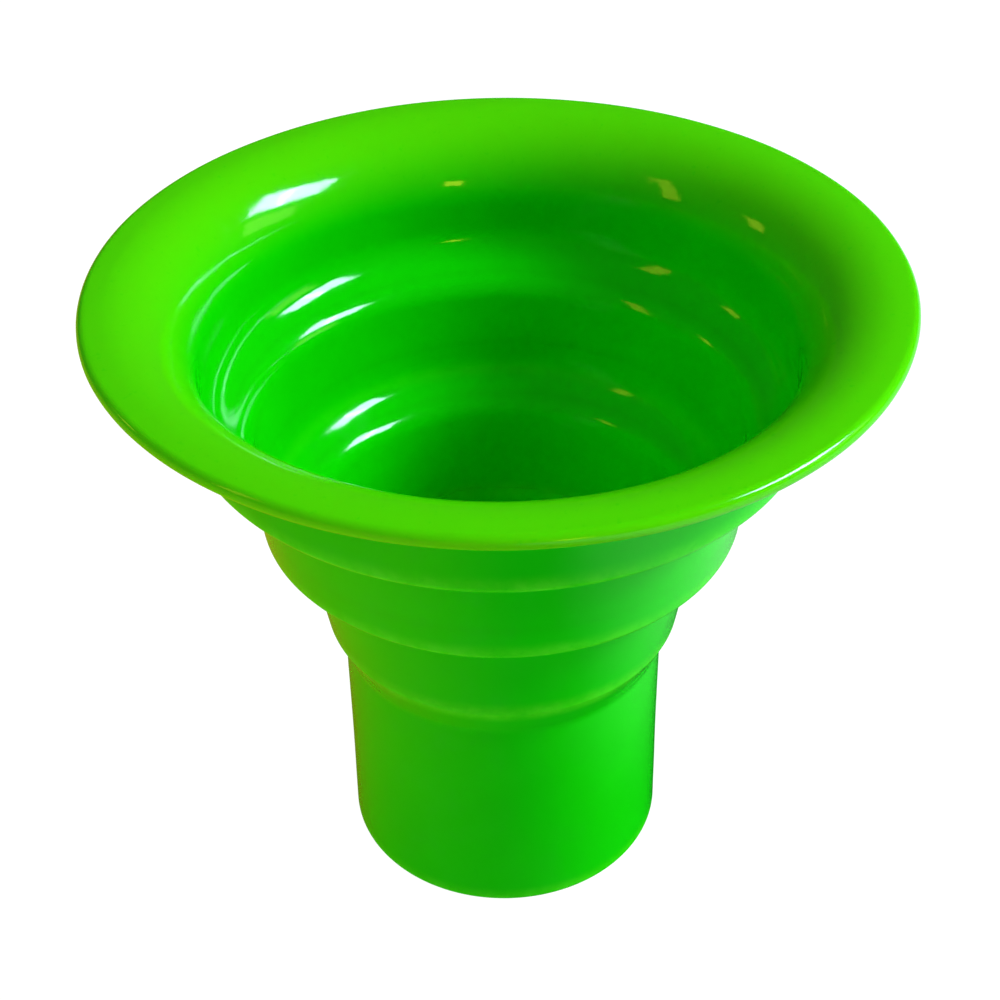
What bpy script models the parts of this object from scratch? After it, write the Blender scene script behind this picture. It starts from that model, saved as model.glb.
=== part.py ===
"""Collapsible canning funnel: a flared mouth, a step ring and a jar spout, joined by two thin walls that fold.

The origin is the centre of the spout's foot, +Z points up through the mouth, and lengths are in metres.
Every piece is a body of revolution about Z. The mouth, the ring and the spout keep their shape. The two fold
walls turn inside out one after the other, so that each tier rises inside the one above it.
"""

import math

import bpy
from mathutils import Vector

# Driving dimensions
HEIGHT = 0.1100            # foot to the middle of the lip's edge
MOUTH_RADIUS = 0.0640      # outermost edge of the lip
FOOT_RADIUS = 0.0278       # outside of the spout at its foot
BAND_WALL = 0.0026         # lip, mouth band and spout
FOLD_WALL = 0.0016         # fold walls and ledges
LEDGE_SLOPE = 0.68         # fall of a ledge for each metre inwards

# Flare between the lip and the mouth band: a quarter ellipse, in plan width and in depth
FLARE_WIDTH = 0.0134
FLARE_DEPTH = 0.0135
LIP_FLAT = 0.0019          # level strip between the lip's round edge and the flare

# Outer radius and height of each tier's lower shoulder
MOUTH_SHOULDER = (0.0498, 0.0902)
RING_SHOULDER = (0.0397, 0.0687)
SPOUT_SHOULDER = (0.0304, 0.0478)
SEAT = (0.0276, 0.0414)    # foot of the cone that rests on a jar's lip

UPPER_CREASE_RADIUS = 0.0417   # outside of the upper fold wall at its top
LOWER_CREASE_RADIUS = 0.0332   # outside of the lower fold wall at its top
CREASE_STUB = 0.0012           # how far a fold wall reaches outwards past its crease
RING_TOP = 0.0746              # foot of the upper fold wall
SPOUT_TOP = 0.0490             # foot of the lower fold wall

SHOULDER_ROUND = 0.0016    # outer edge of a shoulder
CREASE_ROUND = 0.0010      # outer corner under a ledge
VALLEY_ROUND = 0.0072      # inner corner above a ledge, which thickens the shoulder outside it
BROW_ROUND = 0.0050        # inner edge where a ledge turns down into a wall
SEAT_ROUND = 0.0040
FOOT_ROUND = 0.0007
JOINT_GAP = 0.0003         # free space between neighbouring pieces

TURN_STEPS = 48
ROUND_STEPS = 3
FLARE_STEPS = 8
EDGE_STEPS = 6

SILICONE_GREEN = (0.045, 0.60, 0.004, 1.0)
FOLD_GREEN = (0.070, 0.66, 0.004, 1.0)
SATIN = 0.30


def clear_scene():
    for obj in list(bpy.data.objects):
        bpy.data.objects.remove(obj, do_unlink=True)


def new_collection(name):
    collection = bpy.data.collections.new(name)
    bpy.context.scene.collection.children.link(collection)
    return collection


def green_silicone(name, colour, roughness):
    material = bpy.data.materials.new(name)
    material.use_nodes = True
    shader = material.node_tree.nodes["Principled BSDF"]
    shader.inputs["Base Color"].default_value = colour
    shader.inputs["Roughness"].default_value = roughness
    shader.inputs["Metallic"].default_value = 0.0
    material.diffuse_color = colour
    return material


def rounded(corners):
    """The outline through (radius, height, rounding) corners, closed, with an arc in place of each rounded corner."""
    points = []
    count = len(corners)
    for index, (radius, height, rounding) in enumerate(corners):
        corner = Vector((radius, height))
        if rounding == 0:
            points.append(corner)
            continue
        before = Vector(corners[index - 1][:2]) - corner
        after = Vector(corners[(index + 1) % count][:2]) - corner
        half_angle = before.angle(after) / 2
        setback = rounding / math.tan(half_angle)
        middle = before.normalized() + after.normalized()
        centre = corner + middle.normalized() * rounding / math.sin(half_angle)
        start = corner + before.normalized() * setback - centre
        end = corner + after.normalized() * setback - centre
        sweep = start.angle_signed(end)
        for step in range(ROUND_STEPS + 1):
            turn = -sweep * step / ROUND_STEPS
            spoke = Vector((
                start.x * math.cos(turn) - start.y * math.sin(turn),
                start.x * math.sin(turn) + start.y * math.cos(turn),
            ))
            points.append(centre + spoke)
    return points


def arc(centre, width, depth, first, last, steps):
    """Sharp corners along an elliptical arc from angle first to angle last, measured from +X, in degrees."""
    corners = []
    for step in range(steps + 1):
        angle = math.radians(first + (last - first) * step / steps)
        corners.append((centre[0] + width * math.cos(angle), centre[1] + depth * math.sin(angle), 0))
    return corners


def turned(name, corners, material, collection):
    """A solid turned about Z from an outline that runs down its outer side and up its inner side."""
    points = rounded(corners)
    mesh = bpy.data.meshes.new(name)
    edges = [(index, (index + 1) % len(points)) for index in range(len(points))]
    mesh.from_pydata([(point.x, 0, point.y) for point in points], edges, [])
    obj = bpy.data.objects.new(name, mesh)
    collection.objects.link(obj)
    screw = obj.modifiers.new("Turn", "SCREW")
    screw.axis = "Z"
    screw.angle = math.tau
    screw.steps = TURN_STEPS
    screw.render_steps = TURN_STEPS
    screw.use_merge_vertices = True
    screw.merge_threshold = 0.00001
    screw.use_smooth_shade = True
    obj.data.materials.append(material)
    return obj


def ledge(shoulder):
    """Heights of a ledge's underside and top, as functions of radius, below the shoulder that it starts from."""
    upright = FOLD_WALL * math.hypot(1, LEDGE_SLOPE)

    def underside(radius):
        return shoulder[1] - LEDGE_SLOPE * (shoulder[0] - radius)

    def top(radius):
        return underside(radius) + upright

    return underside, top


def wall_radius(height, crease_radius, upper_shoulder, lower_shoulder):
    """Outer radius, at a height, of the cone from the crease under one ledge down to the next shoulder."""
    crease_height = ledge(upper_shoulder)[0](crease_radius)
    share = (height - lower_shoulder[1]) / (crease_height - lower_shoulder[1])
    return lower_shoulder[0] + share * (crease_radius - lower_shoulder[0])


def ledge_end(shoulder, radius):
    """Corners of an end face that cuts a ledge at a radius, from its underside up."""
    underside, top = ledge(shoulder)
    return [(radius, underside(radius), 0), (radius, top(radius), 0)]


def valley(shoulder, wall):
    """The inner corner above a ledge, where it meets a wall of this thickness."""
    radius = shoulder[0] - wall
    return radius, ledge(shoulder)[1](radius), VALLEY_ROUND


def make_mouth(material, collection):
    edge_radius = BAND_WALL / 2
    edge_centre = (MOUTH_RADIUS - edge_radius, HEIGHT)
    flare_centre = (edge_centre[0] - LIP_FLAT, HEIGHT + edge_radius - FLARE_DEPTH)
    edge = arc(edge_centre, edge_radius, edge_radius, 90, -90, EDGE_STEPS)
    under = arc(flare_centre, FLARE_WIDTH - BAND_WALL, FLARE_DEPTH - BAND_WALL, 90, 180, FLARE_STEPS)
    flare = arc(flare_centre, FLARE_WIDTH, FLARE_DEPTH, 180, 90, FLARE_STEPS)
    end = ledge_end(MOUTH_SHOULDER, UPPER_CREASE_RADIUS + CREASE_STUB + JOINT_GAP / 2)
    step = [(*MOUTH_SHOULDER, SHOULDER_ROUND), *end, valley(MOUTH_SHOULDER, BAND_WALL)]
    return turned("flared_mouth", edge + under + step + flare, material, collection)


def make_fold(name, crease_radius, upper_shoulder, lower_shoulder, foot, material, collection):
    """A thin wall that hangs from the end of one ledge and stands on the tier below."""
    underside, top = ledge(upper_shoulder)
    brow_radius = crease_radius - FOLD_WALL
    end = ledge_end(upper_shoulder, crease_radius + CREASE_STUB - JOINT_GAP / 2)
    height = foot + JOINT_GAP / 2
    radius = wall_radius(height, crease_radius, upper_shoulder, lower_shoulder)
    corners = [
        (brow_radius, top(brow_radius), BROW_ROUND),
        *reversed(end),
        (crease_radius, underside(crease_radius), CREASE_ROUND),
        (radius, height, 0),
        (radius - FOLD_WALL, height, 0),
    ]
    return turned(name, corners, material, collection)


def make_step_ring(material, collection):
    height = RING_TOP - JOINT_GAP / 2
    radius = wall_radius(height, UPPER_CREASE_RADIUS, MOUTH_SHOULDER, RING_SHOULDER)
    corners = [
        (radius, height, 0),
        (*RING_SHOULDER, SHOULDER_ROUND),
        *ledge_end(RING_SHOULDER, LOWER_CREASE_RADIUS + CREASE_STUB + JOINT_GAP / 2),
        valley(RING_SHOULDER, FOLD_WALL),
        (radius - FOLD_WALL, height, 0),
    ]
    return turned("step_ring", corners, material, collection)


def make_spout(material, collection):
    height = SPOUT_TOP - JOINT_GAP / 2
    radius = wall_radius(height, LOWER_CREASE_RADIUS, RING_SHOULDER, SPOUT_SHOULDER)
    corners = [
        (radius, height, 0),
        (*SPOUT_SHOULDER, SHOULDER_ROUND),
        (*SEAT, SEAT_ROUND),
        (FOOT_RADIUS, 0, FOOT_ROUND),
        (FOOT_RADIUS - BAND_WALL, 0, FOOT_ROUND),
        (SEAT[0] - BAND_WALL, SEAT[1], SEAT_ROUND),
        (radius - FOLD_WALL, height, 0),
    ]
    return turned("jar_spout", corners, material, collection)


def main():
    clear_scene()
    collection = new_collection("canning_funnel")
    band = green_silicone("silicone_band", SILICONE_GREEN, SATIN)
    thin = green_silicone("silicone_fold", FOLD_GREEN, SATIN)
    upper = (UPPER_CREASE_RADIUS, MOUTH_SHOULDER, RING_SHOULDER, RING_TOP)
    lower = (LOWER_CREASE_RADIUS, RING_SHOULDER, SPOUT_SHOULDER, SPOUT_TOP)
    make_mouth(band, collection)
    make_fold("upper_fold_wall", *upper, thin, collection)
    make_step_ring(band, collection)
    make_fold("lower_fold_wall", *lower, thin, collection)
    make_spout(band, collection)


main()
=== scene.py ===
"""A collapsible canning funnel in glossy lime silicone, standing on a plain pale floor.

The mouth, the step ring and the spout ride on their bodies. The two fold walls are baked in place
and ride on no body.
"""

import math

import bmesh
import bpy
import numpy as np
from mathutils import Matrix, Vector, noise


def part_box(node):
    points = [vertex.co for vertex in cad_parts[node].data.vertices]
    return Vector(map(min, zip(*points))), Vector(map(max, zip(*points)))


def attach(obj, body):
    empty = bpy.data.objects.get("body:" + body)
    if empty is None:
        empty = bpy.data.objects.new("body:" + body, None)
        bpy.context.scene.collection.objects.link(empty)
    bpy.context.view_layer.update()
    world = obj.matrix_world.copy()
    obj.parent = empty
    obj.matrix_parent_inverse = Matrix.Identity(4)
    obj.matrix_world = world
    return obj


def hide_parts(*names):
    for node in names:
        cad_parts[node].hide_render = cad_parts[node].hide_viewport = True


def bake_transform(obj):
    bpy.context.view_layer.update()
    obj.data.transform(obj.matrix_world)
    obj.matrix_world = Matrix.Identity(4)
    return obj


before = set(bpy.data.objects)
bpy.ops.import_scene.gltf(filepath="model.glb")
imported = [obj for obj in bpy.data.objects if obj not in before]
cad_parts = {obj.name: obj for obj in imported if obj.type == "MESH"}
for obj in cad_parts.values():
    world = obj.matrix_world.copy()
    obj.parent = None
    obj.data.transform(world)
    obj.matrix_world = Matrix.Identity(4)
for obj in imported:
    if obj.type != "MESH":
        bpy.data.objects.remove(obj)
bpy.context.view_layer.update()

# ---- The turned profile, in metres: the CAD model's, with its seat and foot rounded a little more ----
LIP_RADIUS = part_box("flared_mouth")[1].x
LIP_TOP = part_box("flared_mouth")[1].z
FOOT_RADIUS = 0.0278
BAND_WALL = 0.0026
FOLD_WALL = 0.0016
LEDGE_SLOPE = 0.68
FLARE_WIDTH = 0.0134
FLARE_DEPTH = 0.0135
LIP_FLAT = 0.0019
# Outer radius and height of each tier's lower shoulder, and of the foot of the cone that rests on a jar
MOUTH_SHOULDER = (0.0498, 0.0902)
RING_SHOULDER = (0.0397, 0.0687)
SPOUT_SHOULDER = (0.0304, 0.0478)
SEAT = (0.0276, 0.0414)
UPPER_CREASE_RADIUS = 0.0417   # outside of the upper fold wall at its top
LOWER_CREASE_RADIUS = 0.0332   # outside of the lower fold wall at its top
CREASE_STUB = 0.0012           # how far a fold wall reaches outwards past its crease
RING_TOP = 0.0746              # foot of the upper fold wall
SPOUT_TOP = 0.0490             # foot of the lower fold wall
SHOULDER_ROUND = 0.0016
CREASE_ROUND = 0.0010
VALLEY_ROUND = 0.0072
BROW_ROUND = 0.0050
SEAT_ROUND = 0.0050
FOOT_ROUND = 0.0009

LIP_WAVE = 0.00025         # how far the soft lip is out of true, which is a guess
SKIN_WAVE = 0.00007        # slow unevenness of the moulded surface
SKIN_WAVE_SIZE = 0.014

SEGMENTS = 240             # pieces in a full turn
PROFILE_STEP = 0.0007      # longest straight piece of a profile
ROUND_STEPS = 8
FLARE_STEPS = 28
EDGE_STEPS = 14
SMOOTH_BELOW = math.radians(50)


# ---- Shape ----
def rounded(corners):
    """The closed outline through (radius, height, rounding) corners, with an arc for each rounded one."""
    points = []
    for index, (radius, height, rounding) in enumerate(corners):
        corner = Vector((radius, height))
        if rounding == 0:
            points.append(corner)
            continue
        before = Vector(corners[index - 1][:2]) - corner
        after = Vector(corners[(index + 1) % len(corners)][:2]) - corner
        half_angle = before.angle(after) / 2
        setback = rounding / math.tan(half_angle)
        middle = (before.normalized() + after.normalized()).normalized()
        centre = corner + middle * rounding / math.sin(half_angle)
        start = corner + before.normalized() * setback - centre
        end = corner + after.normalized() * setback - centre
        sweep = -start.angle_signed(end)
        for step in range(ROUND_STEPS + 1):
            turn = sweep * step / ROUND_STEPS
            spoke = Vector((
                start.x * math.cos(turn) - start.y * math.sin(turn),
                start.x * math.sin(turn) + start.y * math.cos(turn),
            ))
            points.append(centre + spoke)
    return points


def arc(centre, width, depth, first, last, steps):
    """Sharp corners along an elliptical arc from angle first to angle last, in degrees from +X."""
    angles = [math.radians(first + (last - first) * step / steps) for step in range(steps + 1)]
    return [(centre[0] + width * math.cos(a), centre[1] + depth * math.sin(a), 0) for a in angles]


def subdivided(points):
    """A closed outline with its long straight pieces cut into short ones."""
    fine = []
    for here, there in zip(points, points[1:] + points[:1]):
        count = max(1, math.ceil((there - here).length / PROFILE_STEP))
        fine += [here.lerp(there, step / count) for step in range(count)]
    return fine


def moulded(radius, height, angle):
    """A point of the real moulding: its skin is slightly uneven, and its lip slightly out of true."""
    share = max(0.0, height / LIP_TOP) ** 2
    lift = LIP_WAVE * share * (math.sin(2 * angle + 0.7) + 0.5 * math.sin(3 * angle + 2.1))
    point = Vector((radius * math.cos(angle), radius * math.sin(angle), height))
    inset = SKIN_WAVE * (noise.noise(point / SKIN_WAVE_SIZE) - 1) * min(1.0, height / SKIN_WAVE_SIZE)
    return Vector((
        (radius + inset) * math.cos(angle),
        (radius + inset) * math.sin(angle),
        height + lift,
    ))


def turned(name, corners):
    """A closed fine mesh turned about Z from an outline that runs down its outer side and up its inner."""
    outline = subdivided(rounded(corners))
    mesh = bmesh.new()
    rings = []
    for segment in range(SEGMENTS):
        angle = math.tau * segment / SEGMENTS
        rings.append([mesh.verts.new(moulded(point.x, point.y, angle)) for point in outline])
    for ring, following in zip(rings, rings[1:] + rings[:1]):
        for here, there in zip(range(len(outline)), [*range(1, len(outline)), 0]):
            mesh.faces.new((ring[here], ring[there], following[there], following[here]))
    data = bpy.data.meshes.new(name)
    mesh.to_mesh(data)
    mesh.free()
    data.shade_smooth()
    data.set_sharp_from_angle(angle=SMOOTH_BELOW)
    obj = bpy.data.objects.new(name, data)
    bpy.context.scene.collection.objects.link(obj)
    return obj


def ledge(shoulder):
    """Heights of a ledge's underside and top, as functions of radius, inwards from its shoulder."""
    upright = FOLD_WALL * math.hypot(1, LEDGE_SLOPE)

    def underside(radius):
        return shoulder[1] - LEDGE_SLOPE * (shoulder[0] - radius)

    def top(radius):
        return underside(radius) + upright

    return underside, top


def wall_radius(height, crease_radius, upper_shoulder, lower_shoulder):
    """Outer radius, at a height, of the cone from the crease under one ledge down to the next shoulder."""
    crease_height = ledge(upper_shoulder)[0](crease_radius)
    share = (height - lower_shoulder[1]) / (crease_height - lower_shoulder[1])
    return lower_shoulder[0] + share * (crease_radius - lower_shoulder[0])


def ledge_end(shoulder, radius):
    """Corners of an end face that cuts a ledge at a radius, from its underside up."""
    underside, top = ledge(shoulder)
    return [(radius, underside(radius), 0), (radius, top(radius), 0)]


def valley(shoulder, wall):
    """The inner corner above a ledge, where it meets a wall of this thickness."""
    radius = shoulder[0] - wall
    return radius, ledge(shoulder)[1](radius), VALLEY_ROUND


def make_mouth():
    edge_radius = BAND_WALL / 2
    edge_centre = (LIP_RADIUS - edge_radius, LIP_TOP - edge_radius)
    flare_centre = (edge_centre[0] - LIP_FLAT, LIP_TOP - FLARE_DEPTH)
    edge = arc(edge_centre, edge_radius, edge_radius, 90, -90, EDGE_STEPS)
    under = arc(flare_centre, FLARE_WIDTH - BAND_WALL, FLARE_DEPTH - BAND_WALL, 90, 180, FLARE_STEPS)
    flare = arc(flare_centre, FLARE_WIDTH, FLARE_DEPTH, 180, 90, FLARE_STEPS)
    end = ledge_end(MOUTH_SHOULDER, UPPER_CREASE_RADIUS + CREASE_STUB)
    step = [(*MOUTH_SHOULDER, SHOULDER_ROUND), *end, valley(MOUTH_SHOULDER, BAND_WALL)]
    return turned("flared_mouth_skin", edge + under + step + flare)


def make_fold(name, crease_radius, upper_shoulder, lower_shoulder, foot):
    """A thin wall that hangs from the end of one ledge and stands on the tier below."""
    underside, top = ledge(upper_shoulder)
    brow_radius = crease_radius - FOLD_WALL
    radius = wall_radius(foot, crease_radius, upper_shoulder, lower_shoulder)
    return turned(name, [
        (brow_radius, top(brow_radius), BROW_ROUND),
        *reversed(ledge_end(upper_shoulder, crease_radius + CREASE_STUB)),
        (crease_radius, underside(crease_radius), CREASE_ROUND),
        (radius, foot, 0),
        (radius - FOLD_WALL, foot, 0),
    ])


def make_step_ring():
    radius = wall_radius(RING_TOP, UPPER_CREASE_RADIUS, MOUTH_SHOULDER, RING_SHOULDER)
    return turned("step_ring_skin", [
        (radius, RING_TOP, 0),
        (*RING_SHOULDER, SHOULDER_ROUND),
        *ledge_end(RING_SHOULDER, LOWER_CREASE_RADIUS + CREASE_STUB),
        valley(RING_SHOULDER, FOLD_WALL),
        (radius - FOLD_WALL, RING_TOP, 0),
    ])


def make_spout():
    radius = wall_radius(SPOUT_TOP, LOWER_CREASE_RADIUS, RING_SHOULDER, SPOUT_SHOULDER)
    return turned("jar_spout_skin", [
        (radius, SPOUT_TOP, 0),
        (*SPOUT_SHOULDER, SHOULDER_ROUND),
        (*SEAT, SEAT_ROUND),
        (FOOT_RADIUS, 0, FOOT_ROUND),
        (FOOT_RADIUS - BAND_WALL, 0, FOOT_ROUND),
        (SEAT[0] - BAND_WALL, SEAT[1], SEAT_ROUND),
        (radius - FOLD_WALL, SPOUT_TOP, 0),
    ])


def fold(wall, upper_shoulder, crease_radius):
    """Bakes the wall's placement into its mesh; the wall is not blended between bodies and rides on none.
    """
    hung = ledge_end(upper_shoulder, crease_radius + CREASE_STUB)
    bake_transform(wall)


# ---- Material ----
BODY_GREEN = (0.004, 0.53, 0.0004, 1)
# Painted light: the lip's yellower, slightly lighter green stands in for light glowing through the thick
# lip and warm light falling on its top
LIT_LIP_GREEN = (0.100, 0.55, 0.0008, 1)
# Painted highlight: the paler green at the shoulder edges stands in for light caught on their rounded
# ridges
EDGE_HIGHLIGHT_GREEN = (0.060, 0.68, 0.0040, 1)
DEEP_GREEN = (0.002, 0.47, 0.0003, 1)
LIT_LIP_FADE = (0.0985, 0.1105)     # heights between which the body's green turns into the lip's painted light
LIT_WORN_REACH = 0.0034             # how far the painted edge highlight, and the wear that dulls the finish, spreads from an edge
# Edges that get the painted highlight in their colour and the wear's duller finish in their roughness
LIT_WORN_EDGES = (MOUTH_SHOULDER, RING_SHOULDER, SPOUT_SHOULDER, (FOOT_RADIUS, 0.0))

# Noise: features for each metre, and how deep a relief each one makes
CLOUD_SCALE = 38.0
RIPPLE_SCALE = 95.0
SCUFF_SCALE = 210.0
SPECKLE_SCALE = 900.0
RIPPLE_DEPTH = 0.00010
SCUFF_DEPTH = 0.00003
SPECKLE_DEPTH = 0.000006

# Roughness of clean skin, and what scuffs and wear add to it
BAND_ROUGHNESS = 0.07
FOLD_ROUGHNESS = 0.08
SCUFF_ROUGHNESS = 0.07
WEAR_ROUGHNESS = 0.12

SILICONE_IOR = 1.43
SUBSURFACE_SHARE = 0.2
SUBSURFACE_REACH = 0.003
SUBSURFACE_COLOURS = (0.2, 1.0, 0.1)


class Nodes:
    """Short ways to add linked nodes to one material."""

    def __init__(self, material):
        material.use_nodes = True
        self.tree = material.node_tree
        self.shader = self.tree.nodes["Principled BSDF"]

    def feed(self, socket, value):
        if isinstance(value, bpy.types.NodeSocket):
            self.tree.links.new(value, socket)
        else:
            socket.default_value = value

    def math(self, operation, first, second=0.0):
        node = self.tree.nodes.new("ShaderNodeMath")
        node.operation = operation
        self.feed(node.inputs[0], first)
        self.feed(node.inputs[1], second)
        return node.outputs[0]

    def remap(self, value, low, high, first, last):
        """The value's place between low and high, eased, as a number from first to last."""
        node = self.tree.nodes.new("ShaderNodeMapRange")
        node.interpolation_type = "SMOOTHSTEP"
        for name, number in (("Value", value), ("From Min", low), ("From Max", high),
                             ("To Min", first), ("To Max", last)):
            self.feed(node.inputs[name], number)
        return node.outputs["Result"]

    def noise(self, vector, scale, detail, roughness=0.5):
        node = self.tree.nodes.new("ShaderNodeTexNoise")
        self.feed(node.inputs["Vector"], vector)
        self.feed(node.inputs["Scale"], scale)
        self.feed(node.inputs["Detail"], detail)
        self.feed(node.inputs["Roughness"], roughness)
        return node.outputs["Fac"]

    def mix(self, share, first, second):
        node = self.tree.nodes.new("ShaderNodeMix")
        node.data_type = "RGBA"
        self.feed(node.inputs["Factor"], share)
        self.feed(node.inputs["A"], first)
        self.feed(node.inputs["B"], second)
        return node.outputs["Result"]

    def bump(self, height, distance, below=None):
        node = self.tree.nodes.new("ShaderNodeBump")
        self.feed(node.inputs["Height"], height)
        self.feed(node.inputs["Distance"], distance)
        if below is not None:
            self.feed(node.inputs["Normal"], below)
        return node.outputs["Normal"]


def radius_and_height(nodes, place):
    parts = nodes.tree.nodes.new("ShaderNodeSeparateXYZ")
    nodes.feed(parts.inputs[0], place)
    squares = [nodes.math("POWER", parts.outputs[axis], 2.0) for axis in "XY"]
    return nodes.math("SQRT", nodes.math("ADD", *squares)), parts.outputs["Z"]


def lit_worn_edge(nodes, radius, height):
    """One at an edge that gets the painted highlight and the duller worn finish, falling to nothing at the
    edge reach from it.
    """
    nearest = 1.0
    for edge_radius, edge_height in LIT_WORN_EDGES:
        across = nodes.math("POWER", nodes.math("SUBTRACT", radius, edge_radius), 2.0)
        along = nodes.math("POWER", nodes.math("SUBTRACT", height, edge_height), 2.0)
        distance = nodes.math("SQRT", nodes.math("ADD", across, along))
        nearest = nodes.math("MINIMUM", distance, nearest)
    return nodes.remap(nearest, 0.0, LIT_WORN_REACH, 1.0, 0.0)


def green_silicone(name, roughness):
    """Glossy silicone: slow pigment clouds, a lip painted yellower for light glowing through it and warm
    light on its top, edges painted paler as highlights on the shoulder ridges and dulled as wear, faint
    scuffs and ripple.
    """
    material = bpy.data.materials.new(name)
    nodes = Nodes(material)
    inputs = nodes.shader.inputs
    place = nodes.tree.nodes.new("ShaderNodeTexCoord").outputs["Object"]
    radius, height = radius_and_height(nodes, place)
    clouds = nodes.noise(place, CLOUD_SCALE, 3.0)
    speckle = nodes.noise(place, SPECKLE_SCALE, 2.0)
    scuffs = nodes.noise(place, SCUFF_SCALE, 5.0, 0.65)
    ripple = nodes.noise(place, RIPPLE_SCALE, 2.0)

    body = nodes.mix(nodes.remap(clouds, 0.35, 0.65, 0.0, 0.45), BODY_GREEN, DEEP_GREEN)
    # The lip's yellower green is painted light: light glowing through the thick lip and warm light on its
    # top
    pigment_and_lip_light = nodes.mix(nodes.remap(height, *LIT_LIP_FADE, 0.0, 1.0), body, LIT_LIP_GREEN)
    patches = nodes.remap(scuffs, 0.3, 0.7, 0.35, 0.85)
    # Paler edges: painted highlight on the shoulder ridges; the same mask raises the roughness as wear
    highlight_and_wear = nodes.math("MULTIPLY", lit_worn_edge(nodes, radius, height), patches)
    edge_highlit = nodes.mix(highlight_and_wear, pigment_and_lip_light, EDGE_HIGHLIGHT_GREEN)
    flecked = nodes.mix(nodes.remap(speckle, 0.62, 0.8, 0.0, 0.25), edge_highlit, DEEP_GREEN)
    nodes.feed(inputs["Base Color"], flecked)

    scuffed = nodes.remap(scuffs, 0.4, 0.75, roughness, roughness + SCUFF_ROUGHNESS)
    dulled = nodes.math("MULTIPLY", highlight_and_wear, WEAR_ROUGHNESS)
    nodes.feed(inputs["Roughness"], nodes.math("ADD", scuffed, dulled))
    relief = nodes.bump(ripple, RIPPLE_DEPTH)
    relief = nodes.bump(scuffs, SCUFF_DEPTH, relief)
    relief = nodes.bump(speckle, SPECKLE_DEPTH, relief)
    nodes.feed(inputs["Normal"], relief)
    inputs["IOR"].default_value = SILICONE_IOR
    inputs["Subsurface Weight"].default_value = SUBSURFACE_SHARE
    inputs["Subsurface Radius"].default_value = SUBSURFACE_COLOURS
    inputs["Subsurface Scale"].default_value = SUBSURFACE_REACH
    return material


# ---- Camera, floor and lights ----
CAMERA_ELEVATION = math.radians(37.5)
CAMERA_ROLL = math.radians(-0.87)
CAMERA_DISTANCE = 4.9 * LIP_RADIUS
CAMERA_DROP = 0.6568 * LIP_RADIUS      # how far below the middle of the lip's edge the camera looks
CAMERA_TARGET = Vector((0, 0, LIP_TOP - BAND_WALL / 2 - CAMERA_DROP))
CAMERA_LENS = 67.5
CAMERA_SENSOR = 36
CAMERA_SHIFT = (-0.0010, 0.0015)
LIGHT_DISTANCE = 1.5            # from the mouth
FLOOR_SIZE = 6
FLOOR_GLOW = 1.0
FLOOR_PALE = (0.12, 0.12, 0.12, 1)
FLOOR_DARK = (0.08, 0.08, 0.08, 1)
SHEEN_HEIGHT = 0.0002           # the sheen plane's clearance above the floor
WHITE = (1, 1, 1, 1)
BLACK = (0, 0, 0, 1)
DIM_ROOM = (0.030, 0.026, 0.019, 1)     # what everything but the camera sees of the world
BROWN_EDGE = (-0.09, 0.02)      # the table's brown reflection fades out between these, from left to right
BRIGHT_EDGE = (0.03, 0.11)      # and its daylight comes in between these
TABLE_BROWN = (0.45, 0.36, 0.01, 1)
TABLE_BRIGHT = (0.55, 0.95, 0.60, 1)
DAYLIGHT = (0.62, 1.0, 0.92)
GREEN_DAYLIGHT = (0.7, 1.0, 0.25)
LAMPLIGHT = (1.0, 0.85, 0.05)
FILL = (0.4, 1.0, 0.3)


def make_camera():
    back = Vector((0, -math.cos(CAMERA_ELEVATION), math.sin(CAMERA_ELEVATION)))
    level = Vector((1, 0, 0))
    upright = back.cross(level)
    right = math.cos(CAMERA_ROLL) * level + math.sin(CAMERA_ROLL) * upright
    up = math.cos(CAMERA_ROLL) * upright - math.sin(CAMERA_ROLL) * level
    data = bpy.data.cameras.new("camera")
    data.lens = CAMERA_LENS
    data.sensor_width = CAMERA_SENSOR
    data.shift_x, data.shift_y = CAMERA_SHIFT
    obj = bpy.data.objects.new("camera", data)
    rotation = Matrix((right, up, back)).transposed().to_4x4()
    obj.matrix_world = Matrix.Translation(CAMERA_TARGET + back * CAMERA_DISTANCE) @ rotation
    bpy.context.scene.collection.objects.link(obj)
    bpy.context.scene.camera = obj


def direction(azimuth, elevation):
    """A unit vector: azimuth 0 is the camera's side, -Y, and 90 is +X."""
    azimuth, elevation = math.radians(azimuth), math.radians(elevation)
    return Vector((
        math.sin(azimuth) * math.cos(elevation),
        -math.cos(azimuth) * math.cos(elevation),
        math.sin(elevation),
    ))


def make_light(name, azimuth, elevation, width, height, radiance, colour):
    """A rectangle that faces the funnel's mouth, with its power worked out from its radiance."""
    data = bpy.data.lights.new(name, "AREA")
    data.shape = "RECTANGLE"
    data.size = width
    data.size_y = height
    data.energy = radiance * math.pi * width * height
    data.color = colour
    obj = bpy.data.objects.new(name, data)
    towards = direction(azimuth, elevation)
    obj.location = Vector((0, 0, LIP_TOP)) + towards * LIGHT_DISTANCE
    obj.rotation_euler = (-towards).to_track_quat("-Z", "Y").to_euler()
    bpy.context.scene.collection.objects.link(obj)
    return obj


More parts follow.
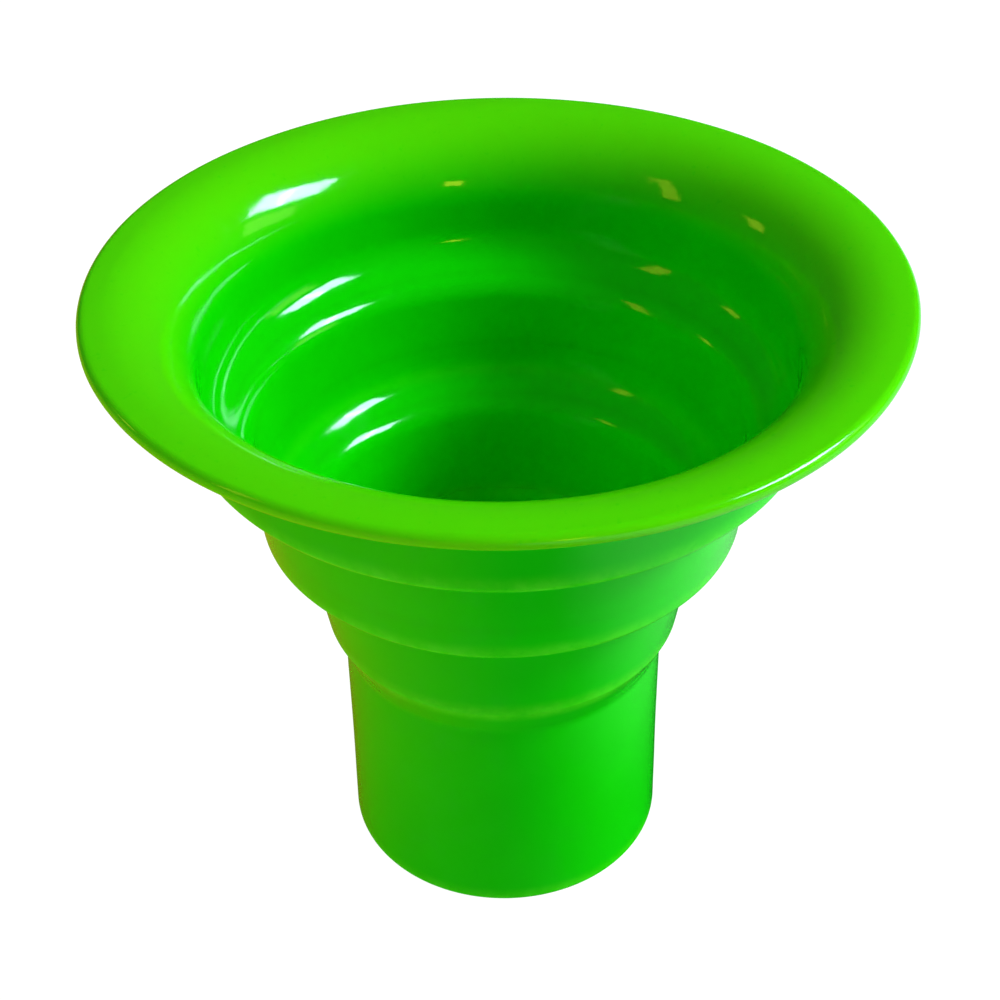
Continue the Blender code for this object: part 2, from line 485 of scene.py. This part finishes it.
def make_lights():
    make_light("window_near", 81, 39, 0.44, 0.36, 34, DAYLIGHT)
    make_light("window_far", 97, 39, 0.36, 0.36, 34, DAYLIGHT)
    make_light("window_low", 92, 21, 0.60, 0.30, 3.0, GREEN_DAYLIGHT)
    make_light("lamp_front", 17, 10, 0.18, 0.18, 9.0, LAMPLIGHT)
    make_light("lamp_left", -69, 26, 0.18, 0.60, 3.2, LAMPLIGHT)
    make_light("lamp_far_left", -107, 20, 0.16, 0.20, 3.6, LAMPLIGHT)
    for name, azimuth, elevation, width, height, radiance in (
        ("fill_above", -68, 50, 1.2, 1.2, 1.8),
        ("fill_right", 104, 11, 1.0, 0.40, 5.0),
    ):
        fill = make_light(name, azimuth, elevation, width, height, radiance, FILL)
        fill.visible_glossy = False


def make_plane(name, height, paint):
    data = bpy.data.meshes.new(name)
    cage = bmesh.new()
    bmesh.ops.create_grid(cage, x_segments=1, y_segments=1, size=FLOOR_SIZE / 2)
    cage.to_mesh(data)
    cage.free()
    plane = bpy.data.objects.new(name, data)
    plane.location.z = height
    bpy.context.scene.collection.objects.link(plane)
    material = bpy.data.materials.new(name)
    nodes = Nodes(material)
    paint(nodes, nodes.tree.nodes.new("ShaderNodeTexCoord").outputs["Object"])
    data.materials.append(material)
    return plane


def white_floor(nodes, place):
    tone = nodes.mix(nodes.noise(place, 3.0, 2.0), FLOOR_PALE, FLOOR_DARK)
    nodes.feed(nodes.shader.inputs["Base Color"], tone)
    nodes.shader.inputs["Roughness"].default_value = 0.7
    nodes.shader.inputs["Emission Color"].default_value = WHITE
    nodes.shader.inputs["Emission Strength"].default_value = FLOOR_GLOW


def table_sheen(nodes, place):
    """What the skin mirrors from below: brown table on the left, daylight on the table on the right."""
    across = nodes.tree.nodes.new("ShaderNodeSeparateXYZ")
    nodes.feed(across.inputs[0], place)
    brown = nodes.mix(nodes.remap(across.outputs["X"], *BROWN_EDGE, 1.0, 0.0), BLACK, TABLE_BROWN)
    colour = nodes.mix(nodes.remap(across.outputs["X"], *BRIGHT_EDGE, 0.0, 1.0), brown, TABLE_BRIGHT)
    nodes.shader.inputs["Base Color"].default_value = BLACK
    nodes.shader.inputs["Roughness"].default_value = 1.0
    nodes.feed(nodes.shader.inputs["Emission Color"], colour)
    nodes.shader.inputs["Emission Strength"].default_value = 1.0


def make_floor():
    """A floor that the skin doesn't mirror, and just above it a sheen that only mirrors show."""
    floor = make_plane("floor", 0.0, white_floor)
    floor.visible_glossy = False
    table = make_plane("table_sheen", SHEEN_HEIGHT, table_sheen)
    table.visible_camera = False
    table.visible_diffuse = False
    table.visible_shadow = False


def make_world():
    """White to the camera and dim to everything else."""
    world = bpy.data.worlds.new("studio")
    world.use_nodes = True
    tree = world.node_tree
    sky = tree.nodes.new("ShaderNodeMix")
    sky.data_type = "RGBA"
    sky.inputs["A"].default_value = DIM_ROOM
    sky.inputs["B"].default_value = WHITE
    seen = tree.nodes.new("ShaderNodeLightPath").outputs["Is Camera Ray"]
    tree.links.new(seen, sky.inputs["Factor"])
    tree.links.new(sky.outputs["Result"], tree.nodes["Background"].inputs["Color"])
    bpy.context.scene.world = world
    bpy.context.scene.view_settings.view_transform = "Standard"


def main():
    mouth = make_mouth()
    ring = make_step_ring()
    spout = make_spout()
    upper = make_fold("upper_fold_skin", UPPER_CREASE_RADIUS, MOUTH_SHOULDER, RING_SHOULDER, RING_TOP)
    lower = make_fold("lower_fold_skin", LOWER_CREASE_RADIUS, RING_SHOULDER, SPOUT_SHOULDER, SPOUT_TOP)
    band = green_silicone("silicone_band", BAND_ROUGHNESS)
    thin = green_silicone("silicone_fold", FOLD_ROUGHNESS)
    for obj in (mouth, ring, spout):
        obj.data.materials.append(band)
    for obj in (upper, lower):
        obj.data.materials.append(thin)
    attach(mouth, "mouth")
    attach(ring, "ring")
    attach(spout, "spout")
    fold(upper, MOUTH_SHOULDER, UPPER_CREASE_RADIUS)
    fold(lower, RING_SHOULDER, LOWER_CREASE_RADIUS)
    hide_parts("flared_mouth")
    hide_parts("step_ring")
    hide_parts("jar_spout")
    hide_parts("upper_fold_wall")
    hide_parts("lower_fold_wall")
    make_camera()
    make_lights()
    make_floor()
    make_world()


main()
